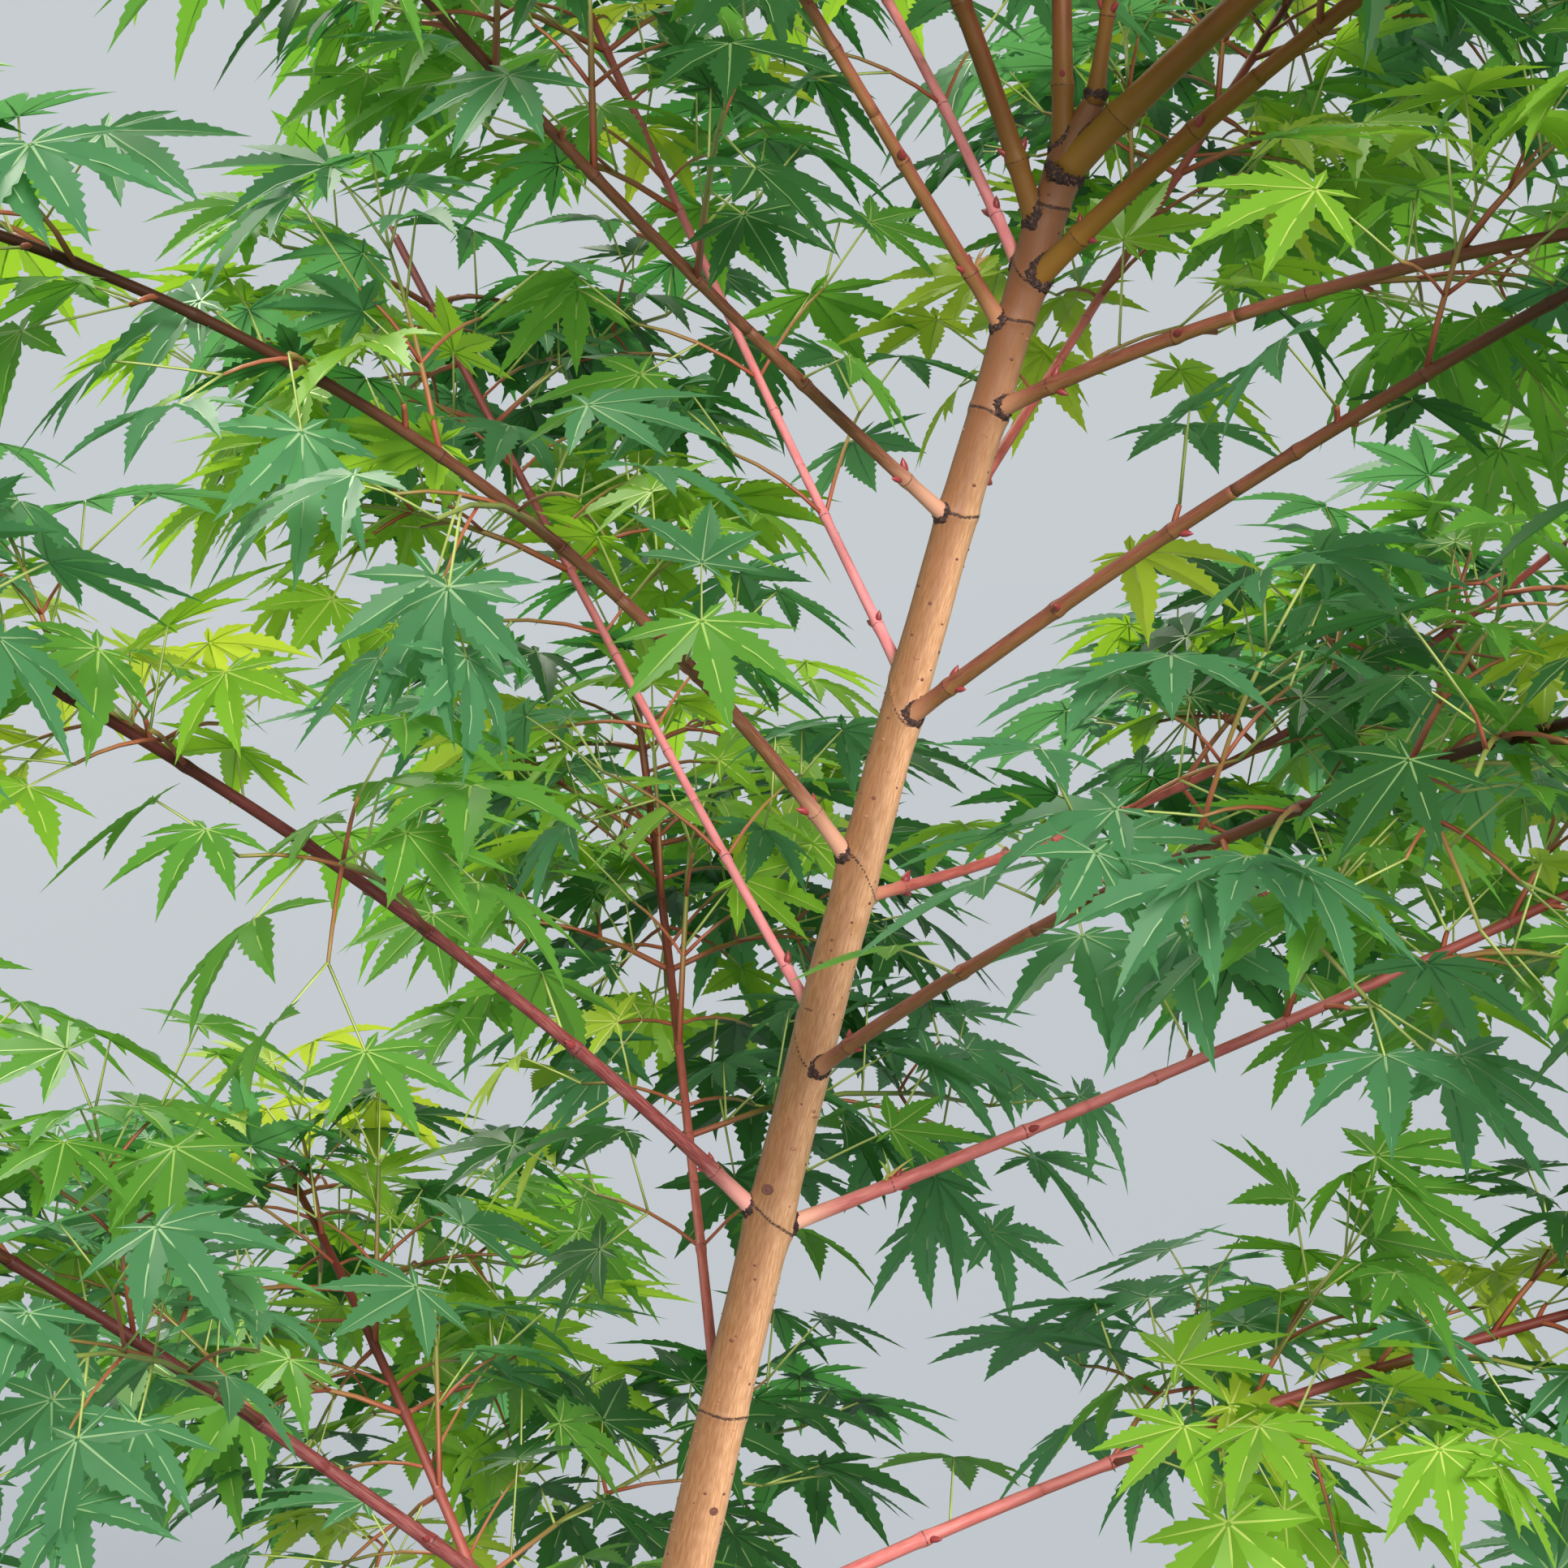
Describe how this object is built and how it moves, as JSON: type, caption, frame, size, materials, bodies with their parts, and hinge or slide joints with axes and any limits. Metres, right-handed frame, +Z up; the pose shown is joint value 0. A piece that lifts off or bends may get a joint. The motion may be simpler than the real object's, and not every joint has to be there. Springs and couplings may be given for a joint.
{
  "type": "potted japanese maple",
  "caption": "Young maple with a slim leaning trunk, coral boughs in opposite pairs and star-shaped green leaves, in a plain round clay pot.",
  "frame": {"origin": "centre of the pot's flat underside, which stands on the ground", "axes": "+Z straight up, +X the way the trunk leans, -Y the side that the picture looks at"},
  "size_m": [1.1591, 0.9518, 1.6873],
  "materials": {
    "pot_clay": "matte",
    "soil": "matte",
    "bark": "satin",
    "coral_bark": "satin",
    "leaf": "satin"
  },
  "bodies": {
    "root": {"pot": "pot_clay", "soil": "soil", "trunk": "bark", "bough_01_left": "coral_bark", "bough_01_right": "coral_bark", "bough_02_front": "coral_bark", "bough_02_back": "coral_bark", "bough_03_left": "coral_bark", "bough_03_right": "coral_bark", "bough_04_back": "coral_bark", "bough_05_left": "coral_bark", "bough_05_right": "coral_bark", "bough_06_front_right": "coral_bark", "bough_06_back_left": "coral_bark", "bough_07_left": "coral_bark", "bough_07_back_right": "coral_bark", "bough_08_right": "coral_bark", "bough_08_back_left": "coral_bark", "bough_09_left": "coral_bark", "bough_09_back_right": "coral_bark", "bough_10_right": "coral_bark", "bough_11_left": "coral_bark", "bough_12_right": "coral_bark", "bough_12_back_left": "coral_bark", "bough_13_left": "coral_bark", "bough_14_right": "coral_bark", "bough_14_up": "coral_bark", "bough_15_top": "coral_bark", "foliage_01_left": "leaf", "foliage_01_right": "leaf", "foliage_02_front": "leaf", "foliage_02_back": "leaf", "foliage_03_left": "leaf", "foliage_03_right": "leaf", "foliage_04_back": "leaf", "foliage_05_left": "leaf", "foliage_05_right": "leaf", "foliage_06_front_right": "leaf", "foliage_06_back_left": "leaf", "foliage_07_left": "leaf", "foliage_07_back_right": "leaf", "foliage_08_right": "leaf", "foliage_08_back_left": "leaf", "foliage_09_left": "leaf", "foliage_09_back_right": "leaf", "foliage_10_right": "leaf", "foliage_11_left": "leaf", "foliage_12_right": "leaf", "foliage_12_back_left": "leaf", "foliage_13_left": "leaf", "foliage_14_right": "leaf", "foliage_14_up": "leaf", "foliage_15_top": "leaf"}
  },
  "joints": []
}
